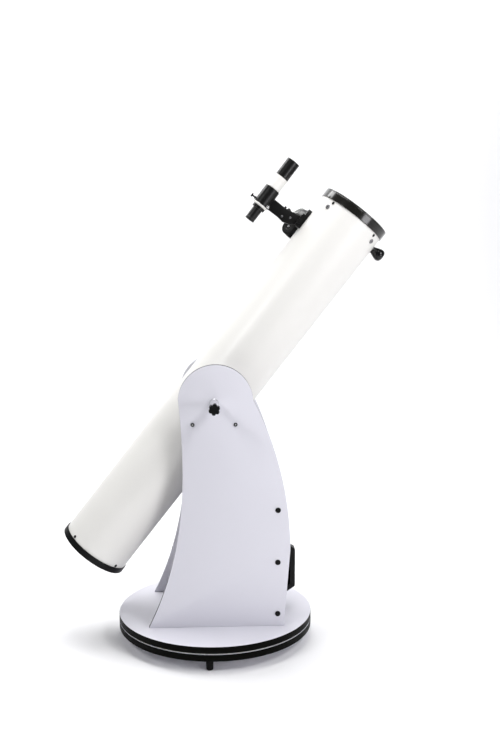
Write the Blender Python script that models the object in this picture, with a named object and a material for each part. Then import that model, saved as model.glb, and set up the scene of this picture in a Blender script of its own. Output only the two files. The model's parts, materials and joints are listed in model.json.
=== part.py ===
"""Dobsonian telescope: a 150 mm solid-tube Newtonian on a turntable rocker box.

Metres, +Z up. The tube points to +X and up, and the altitude axis runs along Y. The origin
is on the floor, under the middle of the whole object.
"""
import math

import bmesh
import bpy
from mathutils import Matrix, Vector

# ---- driving dimensions ------------------------------------------------------------------
GAP = 0.0003                    # clearance between pieces that touch
AZIMUTH_X = -0.0220             # the azimuth axis, behind the middle of the whole object

FOOT_HEIGHT = 0.0300
FOOT_CIRCLE = 0.232
FOOT_ANGLES = (-94, 26, 146)
DISC_RADIUS = 0.2548
DISC_THICKNESS = 0.0172
GROUND_TOP = FOOT_HEIGHT + DISC_THICKNESS
BASE_TOP = 0.0667
BASE_BOTTOM = BASE_TOP - DISC_THICKNESS

BOARD = 0.016                   # side and front boards
SIDE_OUTER = 0.133              # outer face of each side board, from the middle
SIDE_INNER = SIDE_OUTER - BOARD
AXIS_X, AXIS_Z = -0.002, 0.641  # altitude axis, from the azimuth axis and the floor
TUBE_ALTITUDE = math.radians(52.14)
CROWN_CENTRE = Vector((0.002, 0, 0.643))
CROWN_RADIUS = 0.093
BOARD_FOOT = (-0.1690, 0.1730)  # rear and front ends of a side board's lower edge
FRONT_BOARD_X = 0.149
FRONT_BOARD_TOP = 0.430
BOARD_SCREW_Z = (0.369, 0.234, 0.099)

TUBE_RADIUS = 0.091
TUBE_WALL = 0.0010
TUBE_REAR, TUBE_FRONT = -0.5165, 0.5950     # along the tube, from the altitude axis
RING_RADIUS = 0.0938
REAR_RING = (-0.5205, -0.5036)
FRONT_RING = (0.5747, 0.5984)
SKIN = TUBE_RADIUS + 0.0005     # radius that fittings on the tube are cut to

HUB_RADIUS = 0.0625
POST_RADIUS = 0.012
POST_OFFSET = 0.053             # of each post from the altitude axis, sideways and down
ROD_RADIUS = 0.005
KNOB_REACH = 0.080              # from the board's face to the tension knob

MIRROR_RADIUS = 0.0765
FOCUS_S = 0.500                 # focuser axis, along the tube
FOCUS_TURN = math.radians(45)   # round the tube from its top, to the far side
DRAWTUBE_RADIUS = 0.0240
PINION_X = -0.0350              # pinion axis, from the drawtube's axis
PINION_RHO = 0.112              # and from the tube's axis

FINDER_H = 0.203                # finder axis, above the tube's axis
SPIDER_S = 0.550

TUBE_SIDES = 48                 # sides of the tube and of what is cut to fit it
DISC_SIDES = 56


# ---- materials ---------------------------------------------------------------------------
def principled(name, colour, roughness, metallic=0.0):
    material = bpy.data.materials.new(name)
    material.use_nodes = True
    shader = material.node_tree.nodes["Principled BSDF"]
    shader.inputs["Base Color"].default_value = (*colour, 1)
    shader.inputs["Roughness"].default_value = roughness
    shader.inputs["Metallic"].default_value = metallic
    return material


# ---- mesh helpers ------------------------------------------------------------------------
def add_piece(name, bm, finish, parent, location=(0, 0, 0), rotation=(0, 0, 0)):
    """Turn a bmesh into a smooth-shaded object with sharp corners, under its parent."""
    bmesh.ops.recalc_face_normals(bm, faces=bm.faces)
    mesh = bpy.data.meshes.new(name)
    bm.to_mesh(mesh)
    bm.free()
    mesh.shade_smooth()
    mesh.set_sharp_from_angle(angle=math.radians(35))
    piece = bpy.data.objects.new(name, mesh)
    piece.location = location
    piece.rotation_euler = rotation
    piece.parent = parent
    if finish:
        colour, roughness, metallic = finish
        mesh.materials.append(principled(name, colour, roughness, metallic))
    bpy.context.collection.objects.link(piece)
    return piece


def add_axis(name, parent, location, rotation=(0, 0, 0)):
    """An empty that carries the pieces of one moving body or one sloping frame."""
    empty = bpy.data.objects.new(name, None)
    empty.empty_display_size = 0.03
    empty.location = location
    empty.rotation_euler = rotation
    empty.parent = parent
    bpy.context.collection.objects.link(empty)
    return empty


def turned(profile, sides=16, closed=False):
    """Spin (radius, height) points round Z. A closed profile makes a ring."""
    bm = bmesh.new()
    verts = [bm.verts.new((radius, 0, height)) for radius, height in profile]
    ends = list(zip(verts, verts[1:]))
    if closed:
        ends.append((verts[-1], verts[0]))
    edges = [bm.edges.new(pair) for pair in ends]
    bmesh.ops.spin(bm, geom=verts + edges, axis=(0, 0, 1), cent=(0, 0, 0),
                   angle=math.tau, steps=sides, use_merge=True)
    bmesh.ops.remove_doubles(bm, verts=bm.verts, dist=1e-6)
    return bm


def rod(radius, low, high, sides=16):
    return turned([(0, low), (radius, low), (radius, high), (0, high)], sides)


def ring(inner, outer, low, high, sides=24):
    return turned([(inner, low), (outer, low), (outer, high), (inner, high)], sides, True)


def screw(head_radius, head, shank_radius, shank, sides=10):
    """A screw along Z: its head runs from 0 to head, and its shank from 0 down."""
    return turned([(0, -shank), (shank_radius, -shank), (shank_radius, 0), (head_radius, 0),
                   (head_radius, head * 0.7), (head_radius * 0.8, head), (0, head)], sides)


def block(low, high, bevel=0.0):
    """A box between two corners, with its edges bevelled."""
    low, high = Vector(low), Vector(high)
    size = high - low
    bm = bmesh.new()
    bmesh.ops.create_cube(bm, matrix=Matrix.Translation((low + high) / 2)
                          @ Matrix.Diagonal((*size, 1)))
    if bevel:
        bmesh.ops.bevel(bm, geom=bm.edges, offset=bevel, segments=1, affect='EDGES')
    return bm


def prism(outline, depth):
    """Extrude a flat outline of 3-D points by the vector depth."""
    bm = bmesh.new()
    face = bm.faces.new([bm.verts.new(point) for point in outline])
    grown = bmesh.ops.extrude_face_region(bm, geom=[face], use_keep_orig=True)
    moved = [item for item in grown["geom"] if isinstance(item, bmesh.types.BMVert)]
    bmesh.ops.translate(bm, verts=moved, vec=depth)
    return bm


def combine(piece, name, bm, operation='DIFFERENCE', location=(0, 0, 0), rotation=(0, 0, 0)):
    """Cut piece by a hidden shape in the same frame, or join the shape to it."""
    helper = add_piece(name, bm, None, piece.parent, location, rotation)
    helper.hide_render = True
    helper.display_type = 'WIRE'
    step = piece.modifiers.new(name, 'BOOLEAN')
    step.operation = operation
    step.solver = 'EXACT'
    step.object = helper
    return piece


def bezier(start, handle_a, handle_b, end, steps):
    """Points along a cubic curve, without its last one."""
    points = []
    for step in range(steps):
        t = step / steps
        u = 1 - t
        points.append(u ** 3 * start + 3 * u * u * t * handle_a
                      + 3 * u * t * t * handle_b + t ** 3 * end)
    return points


def round_points(centre, radius, first, last, steps, across, up):
    """Points of an arc from angle first to angle last, in degrees."""
    points = []
    for step in range(steps + 1):
        angle = math.radians(first + (last - first) * step / steps)
        points.append(Vector(centre) + radius * (math.cos(angle) * Vector(across)
                                                 + math.sin(angle) * Vector(up)))
    return points


ALONG_Y = (-math.pi / 2, 0, 0)      # turns a shape's Z to +Y
TO_NEAR = (math.pi / 2, 0, 0)       # turns it to -Y
ALONG_X = (0, math.pi / 2, 0)       # turns it to +X
TO_REAR = (0, -math.pi / 2, 0)      # turns it to -X
X_UP = ((1, 0, 0), (0, 0, 1))       # the plane of the side boards

BLACK_PLASTIC = ((0.012, 0.012, 0.013), 0.45, 0.0)
BLACK_RUBBER = ((0.010, 0.010, 0.010), 0.80, 0.0)
BLACK_METAL = ((0.015, 0.015, 0.016), 0.35, 0.0)
STEEL = ((0.55, 0.55, 0.56), 0.30, 1.0)
CHROME = ((0.80, 0.80, 0.81), 0.10, 1.0)
WHITE_BOARD = ((0.82, 0.82, 0.86), 0.40, 0.0)
WHITE_GLOSS = ((0.86, 0.85, 0.82), 0.15, 0.0)
NYLON = ((0.80, 0.80, 0.76), 0.50, 0.0)
MIRROR = ((0.90, 0.91, 0.92), 0.02, 1.0)
GLASS = ((0.75, 0.85, 0.90), 0.02, 0.0)


# ---- ground board ------------------------------------------------------------------------
def make_ground(ground):
    board = add_piece("ground_board", rod(DISC_RADIUS, FOOT_HEIGHT, GROUND_TOP, DISC_SIDES),
                      WHITE_BOARD, ground)
    combine(board, "ground_hole", rod(0.0056, 0, BASE_TOP))
    foot = [(0, 0), (0.007, 0), (0.0085, 0.002), (0.0095, FOOT_HEIGHT - GAP),
            (0, FOOT_HEIGHT - GAP)]
    for number, angle in enumerate(FOOT_ANGLES, 1):
        turn = math.radians(angle)
        place = (FOOT_CIRCLE * math.cos(turn), FOOT_CIRCLE * math.sin(turn), 0)
        add_piece(f"foot_{number}", turned(foot), BLACK_RUBBER, ground, place)
    add_piece("glide_ring", ring(0.160, 0.190, GROUND_TOP + GAP, BASE_BOTTOM - GAP, 32),
              NYLON, ground)
    bolt_bottom = FOOT_HEIGHT - GAP
    bolt = [(0, bolt_bottom - 0.006), (0.0085, bolt_bottom - 0.006), (0.0085, bolt_bottom),
            (ROD_RADIUS, bolt_bottom), (ROD_RADIUS, BASE_TOP + 0.014), (0, BASE_TOP + 0.014)]
    add_piece("centre_bolt", turned(bolt, 12), STEEL, ground)
    nut = [(ROD_RADIUS + 0.0004, 0), (0.0120, 0), (0.0120, 0.002), (0.0085, 0.002),
           (0.0085, 0.011), (ROD_RADIUS + 0.0004, 0.011)]
    add_piece("centre_nut", turned(nut, 12, True), STEEL, ground,
              (0, 0, BASE_TOP + 0.0012))


# ---- rocker box --------------------------------------------------------------------------
def side_outline(y):
    """A side board's outline, from its rear foot round the crown to its front foot."""
    rear, front = BOARD_FOOT
    foot_z = BASE_TOP + GAP
    crown = round_points(CROWN_CENTRE, CROWN_RADIUS, 174, 4, 18, *X_UP)
    bulge = Vector((0.1885, 0, 0.265))
    points = bezier(Vector((rear, 0, foot_z)), Vector((-0.0687, 0, 0.266)),
                    Vector((-0.0730, 0, 0.473)), crown[0], 12)
    points += crown[:-1]
    points += bezier(crown[-1], Vector((0.150, 0, 0.545)), Vector((0.189, 0, 0.400)), bulge, 9)
    points += [bulge, Vector((front, 0, foot_z))]
    return [point + Vector((0, y, 0)) for point in points]


def make_side_board(name, side, rocker):
    """side is -1 for the near board and +1 for the far one."""
    board = add_piece(name, prism(side_outline(side * SIDE_INNER), (0, side * BOARD, 0)),
                      WHITE_BOARD, rocker)
    turn = ALONG_Y if side > 0 else TO_NEAR
    reach = (SIDE_INNER - 0.01, SIDE_OUTER + 0.01)
    combine(board, f"{name}_axis_hole", rod(0.0070, *reach), location=(AXIS_X, 0, AXIS_Z),
            rotation=turn)
    for place, x in (("rear", AXIS_X - POST_OFFSET), ("front", AXIS_X + POST_OFFSET)):
        combine(board, f"{name}_{place}_post_hole", rod(0.0034, *reach, 10),
                location=(x, 0, AXIS_Z - POST_OFFSET), rotation=turn)
    screw_x = FRONT_BOARD_X + BOARD / 2
    for number, height in enumerate(BOARD_SCREW_Z, 1):
        combine(board, f"{name}_screw_hole_{number}", rod(0.0030, *reach, 10),
                location=(screw_x, 0, height), rotation=turn)


def make_board_screws(side_name, side, rocker):
    turn = ALONG_Y if side > 0 else TO_NEAR
    for number, height in enumerate(BOARD_SCREW_Z, 1):
        add_piece(f"board_screw_{side_name}_{number}", screw(0.0070, 0.0020, 0.0025, 0.046),
                  BLACK_PLASTIC, rocker,
                  (FRONT_BOARD_X + BOARD / 2, side * (SIDE_OUTER + GAP), height), turn)


def make_posts(side_name, side, rocker):
    """Nylon posts that the hub rests on, each with the bolt that holds it to the board."""
    turn = TO_NEAR if side < 0 else ALONG_Y
    profile = [(0, -0.022), (0.0105, -0.022), (POST_RADIUS, -0.0205), (POST_RADIUS, -GAP),
               (0.0026, -GAP), (0.0026, BOARD + GAP), (0.0045, BOARD + GAP),
               (0.0045, BOARD + 0.0025), (0.0022, BOARD + 0.0030), (0, BOARD + 0.0018)]
    for place, x in (("rear", AXIS_X - POST_OFFSET), ("front", AXIS_X + POST_OFFSET)):
        add_piece(f"altitude_post_{side_name}_{place}", turned(profile, 12), NYLON, rocker,
                  (x, side * SIDE_INNER, AXIS_Z - POST_OFFSET), turn)


def make_rocker(rocker):
    base = add_piece("base_plate", rod(DISC_RADIUS, BASE_BOTTOM, BASE_TOP, DISC_SIDES),
                     WHITE_BOARD, rocker)
    combine(base, "base_hole", rod(0.0105, 0, BASE_TOP + 0.02))
    add_piece("centre_bush", ring(0.0056, 0.0099, BASE_BOTTOM, BASE_TOP + 0.0008, 16),
              NYLON, rocker)
    for side_name, side in (("near", -1), ("far", 1)):
        make_side_board(f"side_board_{side_name}", side, rocker)
        make_board_screws(side_name, side, rocker)
        make_posts(side_name, side, rocker)

    width = SIDE_INNER - GAP
    front = add_piece("front_board", block((FRONT_BOARD_X, -width, BASE_TOP + GAP),
                                           (FRONT_BOARD_X + BOARD, width, FRONT_BOARD_TOP)),
                      WHITE_BOARD, rocker)
    for number, height in enumerate(BOARD_SCREW_Z, 1):
        for side_name, side, turn in (("near", -1, TO_NEAR), ("far", 1, ALONG_Y)):
            combine(front, f"front_hole_{side_name}_{number}", rod(0.0030, -0.032, 0.01, 10),
                    location=(FRONT_BOARD_X + BOARD / 2, side * width, height), rotation=turn)

    face = FRONT_BOARD_X + BOARD + GAP
    half = 0.016
    outline = [(0, 0.088), (0.004, 0.088), (0.007, 0.100), (0.047, 0.126), (0.047, 0.229),
               (0.007, 0.252), (0.004, 0.264), (0, 0.264), (0, 0.236), (0.031, 0.221),
               (0.031, 0.134), (0, 0.116)]
    add_piece("carry_handle", prism([(face + x, -half, z) for x, z in outline],
                                    (0, 2 * half, 0)), BLACK_PLASTIC, rocker)
    stop_reach = FRONT_BOARD_X - GAP - (AXIS_X + TUBE_RADIUS + 0.0006)
    add_piece("door_stop", turned([(0, 0), (0.018, 0), (0.013, 0.010), (0.013, stop_reach
                                   - 0.004), (0.010, stop_reach), (0, stop_reach)]),
              BLACK_RUBBER, rocker, (FRONT_BOARD_X - GAP, 0, 0.300), TO_REAR)


# ---- optical tube ------------------------------------------------------------------------
def slice_rod(radius, low, high, cuts, sides=24):
    """A rod along X whose part beyond each cutting plane (point, normal) is taken off."""
    bm = rod(radius, low, high, sides)
    bm.transform(Matrix.Rotation(math.pi / 2, 4, 'Y'))
    for point, normal in cuts:
        geom = bm.verts[:] + bm.edges[:] + bm.faces[:]
        bmesh.ops.bisect_plane(bm, geom=geom, plane_co=point, plane_no=normal,
                               clear_outer=True)
        bmesh.ops.holes_fill(bm, edges=bm.edges)
    return bm


def make_rings(tube):
    sleeve = TUBE_RADIUS + 0.0004
    low, high = REAR_RING
    rear = [(sleeve, high), (RING_RADIUS, high), (RING_RADIUS, low + 0.001),
            (RING_RADIUS - 0.001, low), (0.080, low), (0.080, TUBE_REAR - GAP),
            (sleeve, TUBE_REAR - GAP)]
    add_piece("rear_ring", turned(rear, TUBE_SIDES, True), BLACK_PLASTIC, tube, rotation=ALONG_X)
    low, high = FRONT_RING
    front = [(sleeve, low), (RING_RADIUS, low), (RING_RADIUS, high - 0.0012),
             (RING_RADIUS - 0.0012, high), (0.0865, high), (0.0865, TUBE_FRONT + GAP),
             (sleeve, TUBE_FRONT + GAP)]
    add_piece("front_ring", turned(front, TUBE_SIDES, True), BLACK_METAL, tube, rotation=ALONG_X)


def make_mirror_cell(tube):
    cell = add_piece("mirror_cell", ring(0.030, 0.0888, -0.5162, -0.5112, 32), BLACK_METAL,
                     tube, rotation=ALONG_X)
    support = add_piece("mirror_support", ring(0.026, 0.0790, -0.4962, -0.4902, 32),
                        BLACK_METAL, tube, rotation=ALONG_X)
    face = -0.4680
    mirror = [(0, -0.4898), (MIRROR_RADIUS, -0.4898), (MIRROR_RADIUS, face)]
    for step in (2, 1, 0):
        radius = MIRROR_RADIUS * step / 3
        mirror.append((radius, face - (MIRROR_RADIUS ** 2 - radius ** 2) / (4 * 1.2)))
    add_piece("primary_mirror", turned(mirror, 32), MIRROR, tube, rotation=ALONG_X)
    knob = [(0, -0.0150), (0.0085, -0.0150), (0.0105, -0.0130), (0.0105, -0.0030),
            (0.0070, 0), (0.0030, 0), (0.0030, 0.0240), (0, 0.0240)]
    for number in range(3):
        turn = math.radians(30 + 120 * number)
        place = (-0.5165, 0.056 * math.cos(turn), 0.056 * math.sin(turn))
        for plate in (cell, support):
            combine(plate, f"{plate.name}_hole_{number + 1}", rod(0.0038, -0.01, 0.04, 10),
                    location=place, rotation=ALONG_X)
        add_piece(f"collimation_knob_{number + 1}", turned(knob, 16), STEEL, tube, place,
                  ALONG_X)


def make_spider(tube):
    spider = add_piece("spider", rod(0.0100, SPIDER_S - 0.012, SPIDER_S + 0.012, 16),
                       BLACK_METAL, tube, rotation=ALONG_X)
    for number, angle in enumerate((45, 135), 1):
        vane = block((SPIDER_S - 0.009, -0.0005, -0.0893), (SPIDER_S + 0.009, 0.0005, 0.0893))
        combine(spider, f"vanes_{number}", vane, 'UNION',
                rotation=(math.radians(angle), 0, 0))
    face = Vector((FOCUS_S, 0, 0))
    out = Vector((-1, math.sin(FOCUS_TURN), math.cos(FOCUS_TURN))).normalized()
    thickness = 0.0055
    mirror = slice_rod(0.0180, FOCUS_S - 0.03, FOCUS_S + 0.04,
                       ((face, out), (face - thickness * out, -out)))
    add_piece("secondary_mirror", mirror, MIRROR, tube)
    holder = slice_rod(0.0165, FOCUS_S - 0.03, SPIDER_S - 0.0123,
                       ((face - (thickness + GAP) * out, out),))
    add_piece("secondary_holder", holder, BLACK_METAL, tube)


def make_hub(side_name, side, tube):
    """An altitude hub, saddle-cut to the tube, with the hole for the tension rod."""
    turn = ALONG_Y if side > 0 else TO_NEAR
    outer = SIDE_INNER - 0.0012
    profile = [(0, 0.064), (HUB_RADIUS, 0.064), (HUB_RADIUS, outer - 0.0015),
               (HUB_RADIUS - 0.0015, outer), (0, outer)]
    hub = add_piece(f"altitude_hub_{side_name}", turned(profile, 40), BLACK_PLASTIC, tube,
                    rotation=turn)
    combine(hub, f"hub_saddle_{side_name}", rod(SKIN, -0.2, 0.2, TUBE_SIDES), rotation=ALONG_X)
    combine(hub, f"hub_hole_{side_name}", rod(0.0056, 0.100, 0.130, 12), rotation=turn)


def make_tension(side_name, side, tube):
    """The star knob and the sleeved rod behind it, which turn together."""
    turn = ALONG_Y if side > 0 else TO_NEAR
    axis = add_axis(f"tension_axis_{side_name}", tube, (0, side * SIDE_OUTER, 0), turn)
    rod_end = 0.101 - SIDE_OUTER
    reach = KNOB_REACH - GAP
    profile = [(0, rod_end), (ROD_RADIUS, rod_end), (ROD_RADIUS, 0.0012), (0.0118, 0.0012),
               (0.0118, 0.0040), (0.0108, 0.0052), (0.0108, reach), (0, reach)]
    add_piece(f"tension_sleeve_{side_name}", turned(profile, 20), CHROME, axis)
    outline = []
    for step in range(36):
        angle = math.tau * step / 36
        radius = 0.0122 + 0.0018 * math.cos(6 * angle)
        outline.append((radius * math.sin(angle), radius * math.cos(angle), KNOB_REACH))
    knob = prism(outline, (0, 0, 0.018))
    add_piece(f"tension_knob_{side_name}", knob, BLACK_PLASTIC, axis)


def make_tube(tube):
    main = add_piece("main_tube", ring(TUBE_RADIUS - TUBE_WALL, TUBE_RADIUS, TUBE_REAR,
                                       TUBE_FRONT, TUBE_SIDES), WHITE_GLOSS, tube, rotation=ALONG_X)
    combine(main, "focuser_hole", rod(0.0298, 0.05, 0.12, 24), location=(FOCUS_S, 0, 0),
            rotation=(-FOCUS_TURN, 0, 0))
    make_rings(tube)
    make_mirror_cell(tube)
    make_spider(tube)
    for side_name, side in (("near", -1), ("far", 1)):
        make_hub(side_name, side, tube)
        make_tension(side_name, side, tube)
    grip = [(0, SKIN), (0.0092, SKIN), (0.0092, 0.0945), (0.0122, 0.1020), (0.0150, 0.1095),
            (0.0160, 0.1155), (0.0146, 0.1212), (0.0095, 0.1253), (0, 0.1264)]
    add_piece("guide_knob", turned(grip, 20), BLACK_PLASTIC, tube, (0.547, 0, 0),
              (math.pi, 0, 0))


# ---- focuser -----------------------------------------------------------------------------
def toothed_wheel(teeth, tip, root, low, high):
    """A gear along Z with flat-topped teeth."""
    outline = []
    for tooth in range(teeth):
        for share, radius in ((0.05, root), (0.35, tip), (0.65, tip), (0.95, root)):
            angle = math.tau * (tooth + share) / teeth
            outline.append((radius * math.cos(angle), radius * math.sin(angle), low))
    return prism(outline, (0, 0, high - low))


def make_focuser(tube):
    """The focuser in its own frame: Z points out of the tube, X along it."""
    frame = add_axis("focuser_frame", tube, (FOCUS_S, 0, 0), (-FOCUS_TURN, 0, 0))
    base = add_piece("focuser_base", block((-0.042, -0.0285, 0.075), (0.042, 0.0285, 0.0965),
                                           0.002), BLACK_PLASTIC, frame)
    combine(base, "housing", rod(0.0315, 0.080, 0.1330, 24), 'UNION')
    combine(base, "pinion_box", block((-0.0560, -0.0270, 0.090), (-0.0120, 0.0270, 0.1215),
                                      0.002), 'UNION')
    combine(base, "base_saddle", rod(SKIN, -0.1, 0.1, TUBE_SIDES), rotation=ALONG_X)
    combine(base, "bore", rod(DRAWTUBE_RADIUS + 0.0006, 0.05, 0.15, 24))
    combine(base, "rack_slot", block((-0.0292, -0.0052, 0.05), (-0.0180, 0.0052, 0.15)))
    pinion_place = (PINION_X, 0, PINION_RHO)
    combine(base, "gear_room", rod(0.0070, -0.0075, 0.0075), location=pinion_place,
            rotation=ALONG_Y)
    combine(base, "shaft_bore", rod(0.0036, -0.05, 0.05, 12), location=pinion_place,
            rotation=ALONG_Y)

    top = 0.1415
    slide = add_piece("drawtube", ring(DRAWTUBE_RADIUS - 0.0018, DRAWTUBE_RADIUS, 0.0745, top,
                                       24), CHROME, frame)
    tooth_count = 19
    pitch = 0.0031
    outline = [(-0.0230, -0.0040, 0.0770), (-0.0263, -0.0040, 0.0770)]
    for tooth in range(tooth_count):
        start = 0.0772 + pitch * tooth
        outline += [(-0.0263, -0.0040, start), (-0.0283, -0.0040, start + 0.3 * pitch),
                    (-0.0283, -0.0040, start + 0.6 * pitch),
                    (-0.0263, -0.0040, start + 0.9 * pitch)]
    outline.append((-0.0230, -0.0040, 0.0772 + pitch * (tooth_count - 0.05)))
    combine(slide, "rack", prism(outline, (0, 0.0080, 0)), 'UNION')
    collar_low, collar_high = top + GAP, 0.1560
    collar = [(0.0160, collar_low), (0.0305, collar_low), (0.0305, collar_high - 0.001),
              (0.0295, collar_high), (0.0160, collar_high)]
    collar = add_piece("eyepiece_collar", turned(collar, 24, True), CHROME, frame)
    screw_place = (0, 0, (collar_low + collar_high) / 2)
    combine(collar, "collar_hole", rod(0.0028, 0.010, 0.04, 12), location=screw_place,
            rotation=TO_NEAR)
    screw_axis = add_axis("collar_screw_axis", frame, screw_place, TO_NEAR)
    profile = [(0, 0.0165), (0.0022, 0.0165), (0.0022, 0.0380), (0.0052, 0.0388),
               (0.0052, 0.0442), (0.0042, 0.0452), (0, 0.0452)]
    add_piece("collar_screw", turned(profile, 12), BLACK_METAL, screw_axis)

    pinion = add_axis("pinion_axis", frame, pinion_place, ALONG_Y)
    shaft = add_piece("pinion_shaft", toothed_wheel(13, 0.0062, 0.0045, -0.0070, 0.0070),
                      STEEL, pinion)
    combine(shaft, "shaft", rod(0.0030, -0.0465, 0.0465, 12), 'UNION')
    knob = [(0.0034, 0.0300), (0.0190, 0.0300), (0.0210, 0.0320), (0.0210, 0.0440),
            (0.0195, 0.0460), (0.0034, 0.0460)]
    add_piece("focus_knob_near", turned(knob, 24, True), BLACK_PLASTIC, pinion,
              rotation=(math.pi, 0, 0))
    add_piece("focus_knob_far", turned(knob, 24, True), BLACK_PLASTIC, pinion)


# ---- finder ------------------------------------------------------------------------------
def make_shoe(tube):
    """The shoe on the tube, with a dovetail slot along it and a clamp screw."""
    shoe = add_piece("finder_shoe", block((0.472, -0.019, 0.080), (0.5255, 0.019, 0.1050),
                                          0.0012), BLACK_PLASTIC, tube)
    combine(shoe, "shoe_saddle", rod(SKIN, 0.4, 0.6, TUBE_SIDES), rotation=ALONG_X)
    combine(shoe, "shoe_step", block((0.5085, -0.03, 0.0990), (0.54, 0.03, 0.12)))
    slot = [(-0.0099, 0.0985), (0.0099, 0.0985), (0.0080, 0.12), (-0.0080, 0.12)]
    combine(shoe, "shoe_slot", prism([(0.46, y, z) for y, z in slot], (0.08, 0, 0)))
    combine(shoe, "clamp_hole", rod(0.0025, 0.005, 0.03, 12), location=(0.486, 0, 0.1018),
            rotation=TO_NEAR)
    clamp = add_axis("clamp_axis", tube, (0.486, 0, 0.1018), TO_NEAR)
    profile = [(0, 0.0105), (0.0020, 0.0105), (0.0020, 0.0194), (0.0050, 0.0194),
               (0.0050, 0.0230), (0.0060, 0.0236), (0.0060, 0.0270), (0, 0.0270)]
    add_piece("clamp_screw", turned(profile, 12), STEEL, clamp)


def make_bracket(tube):
    frame = add_axis("bracket_frame", tube, (0, 0, FINDER_H))
    barrel = [(0.0155, 0.461), (0.0204, 0.461), (0.0204, 0.510), (0.0155, 0.510)]
    bracket = add_piece("finder_bracket", turned(barrel, 24, True), BLACK_PLASTIC, frame,
                        rotation=ALONG_X)
    arm = [(0.4612, -0.0165), (0.4618, -0.0525), (0.4598, -0.0695), (0.4655, -0.0880),
           (0.4735, -0.0975), (0.5000, -0.0975), (0.4985, -0.0895), (0.4915, -0.0550),
           (0.4920, -0.0165)]
    combine(bracket, "arm", prism([(s, -0.0072, h) for s, h in arm], (0, 0.0144, 0)), 'UNION')
    foot = [(-0.0095, -0.1040), (0.0095, -0.1040), (0.0074, -0.0960), (-0.0074, -0.0960)]
    combine(bracket, "dovetail", prism([(0.4735, y, z) for y, z in foot], (0.030, 0, 0)),
            'UNION')
    combine(bracket, "barrel_bore", rod(0.0155, 0.45, 0.52, 24), rotation=ALONG_X)
    hole_turns = (("top", (0, 0, 0)), ("side", ALONG_Y),
                  ("plunger", (math.radians(135), 0, 0)))
    for place, turn in hole_turns:
        combine(bracket, f"{place}_hole", rod(0.0026, 0.010, 0.03, 12),
                location=(0.466, 0, 0), rotation=turn)
    thumb = [(0, 0.0145), (0.0020, 0.0145), (0.0020, 0.0212), (0.0042, 0.0212),
             (0.0042, 0.0236), (0.0022, 0.0236), (0.0022, 0.0305), (0.0050, 0.0305),
             (0.0050, 0.0345), (0, 0.0345)]
    plunger = [(0, 0.0148), (0.0018, 0.0148), (0.0018, 0.0214), (0.0040, 0.0214),
               (0.0040, 0.0272), (0.0020, 0.0286), (0, 0.0286)]
    shapes = (("align_screw_top", thumb, BLACK_METAL), ("align_screw_side", thumb, BLACK_METAL),
              ("spring_plunger", plunger, CHROME))
    for (name, profile, finish), (_, turn) in zip(shapes, hole_turns):
        axis = add_axis(f"{name}_axis", frame, (0.466, 0, 0), turn)
        add_piece(name, turned(profile, 12), finish, axis)


def make_finder(tube):
    pivot_s = 0.504
    pivot = add_axis("finder_pivot", tube, (pivot_s, 0, FINDER_H), ALONG_X)

    def on_axis(name, profile, finish, closed, sides=24):
        shifted = [(radius, s - pivot_s) for radius, s in profile]
        add_piece(name, turned(shifted, sides, closed), finish, pivot)

    on_axis("finder_tube", [(0.0120, 0.4550), (0.0172, 0.4550), (0.0172, 0.4570),
                            (0.0214, 0.4572), (0.0214, 0.4602), (0.0172, 0.4604),
                            (0.0135, 0.4605), (0.0135, 0.5110), (0.0181, 0.5110),
                            (0.0181, 0.5460), (0.0120, 0.5460)], WHITE_GLOSS, True)
    on_axis("dew_shade", [(0.0138, 0.5463), (0.0178, 0.5463), (0.0178, 0.5955),
                          (0.0168, 0.5955), (0.0138, 0.5620)], BLACK_PLASTIC, True)
    on_axis("finder_lens", [(0, 0.5480), (0.0133, 0.5500), (0.0133, 0.5540), (0, 0.5560)],
            GLASS, False, 24)
    on_axis("finder_eyepiece", [(0.0075, 0.4120), (0.0117, 0.4120), (0.0127, 0.4132),
                                (0.0127, 0.4470), (0.0170, 0.4474), (0.0170, 0.4547),
                                (0.0075, 0.4547)], BLACK_PLASTIC, True, 24)


# ---- the whole object --------------------------------------------------------------------
def main():
    for old in list(bpy.data.objects):
        bpy.data.objects.remove(old, do_unlink=True)
    ground = add_axis("azimuth_axis", None, (AZIMUTH_X, 0, 0))
    rocker = add_axis("rocker_axis", ground, (0, 0, 0))
    tube = add_axis("altitude_axis", rocker, (AXIS_X, 0, AXIS_Z), (0, -TUBE_ALTITUDE, 0))
    make_ground(ground)
    make_rocker(rocker)
    make_tube(tube)
    make_focuser(tube)
    make_shoe(tube)
    make_bracket(tube)
    make_finder(tube)


main()
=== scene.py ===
"""The looks of a solid-tube dobsonian telescope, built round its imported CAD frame."""
import json
import math

import bmesh
import bpy
from mathutils import Matrix, Vector


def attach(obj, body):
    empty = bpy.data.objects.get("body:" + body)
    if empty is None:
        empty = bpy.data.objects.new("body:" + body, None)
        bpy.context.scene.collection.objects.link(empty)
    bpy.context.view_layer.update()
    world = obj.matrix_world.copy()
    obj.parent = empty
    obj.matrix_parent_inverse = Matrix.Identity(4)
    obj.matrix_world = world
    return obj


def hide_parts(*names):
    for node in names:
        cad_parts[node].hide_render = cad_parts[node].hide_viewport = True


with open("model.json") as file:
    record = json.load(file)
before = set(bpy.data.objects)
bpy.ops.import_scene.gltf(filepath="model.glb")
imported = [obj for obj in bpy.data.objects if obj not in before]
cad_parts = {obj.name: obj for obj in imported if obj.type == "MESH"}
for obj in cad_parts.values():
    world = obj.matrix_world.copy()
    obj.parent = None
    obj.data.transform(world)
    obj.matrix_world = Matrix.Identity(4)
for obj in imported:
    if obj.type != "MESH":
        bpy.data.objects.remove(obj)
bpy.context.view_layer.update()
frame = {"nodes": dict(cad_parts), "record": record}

JOINTS = {joint["name"]: joint for joint in frame["record"]["behaviour"]["joints"]}


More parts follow.
